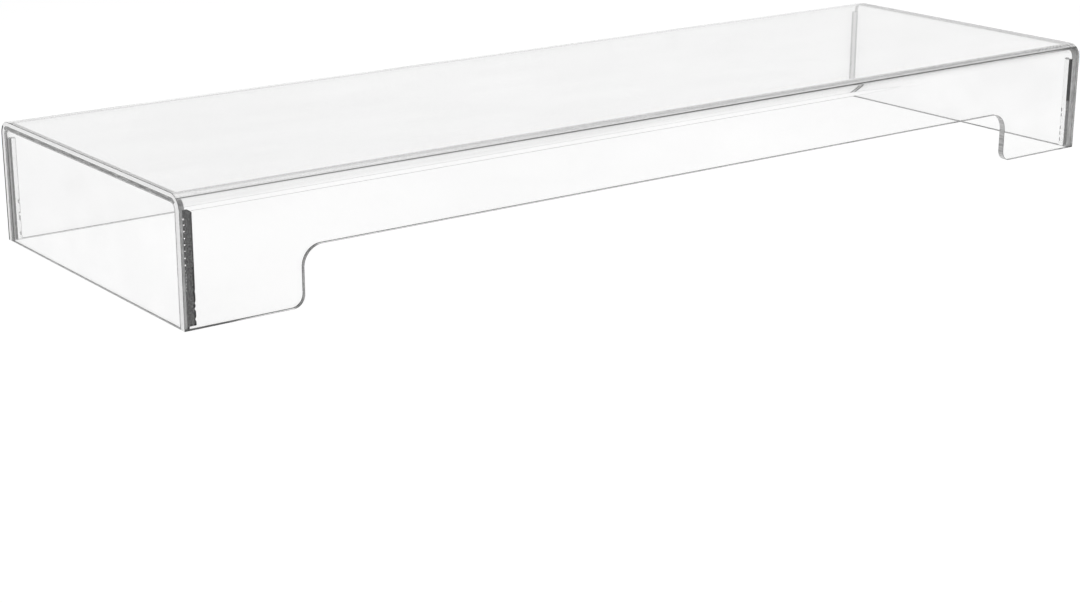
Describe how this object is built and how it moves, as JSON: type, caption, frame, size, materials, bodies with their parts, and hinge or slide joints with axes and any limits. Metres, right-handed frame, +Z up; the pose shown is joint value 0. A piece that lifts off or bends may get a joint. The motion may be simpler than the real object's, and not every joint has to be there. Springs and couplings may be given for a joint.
{
  "type": "monitor riser stand",
  "caption": "Low clear bridge with a flat top, closed ends and back and a long front notch, to lift a monitor over a keyboard.",
  "frame": {"origin": "on the ground, in the middle of the footprint", "axes": "+X to the right along the front, +Y to the back, +Z up; the notched skirt faces -Y"},
  "size_m": [0.48, 0.15, 0.05],
  "materials": {
    "cover_acrylic": "clear polished acrylic sheet, 3 mm, line-bent, with faint wipe marks",
    "panel_acrylic": "clear polished acrylic sheet, 3 mm, flat",
    "adhesive_film": "thin cured acrylic adhesive with small trapped bubbles",
    "bonding_strip": "near-black glossy strip, bonded with small bubbles and dry patches that show grey"
  },
  "bodies": {
    "root": {"bent_cover": "cover_acrylic", "left_end_panel": "panel_acrylic", "right_end_panel": "panel_acrylic", "left_adhesive_film": "adhesive_film", "right_adhesive_film": "adhesive_film", "front_left_bonding_strip": "bonding_strip", "front_right_bonding_strip": "bonding_strip", "back_right_bonding_strip": "bonding_strip", "back_left_bonding_strip": "bonding_strip"}
  },
  "joints": []
}
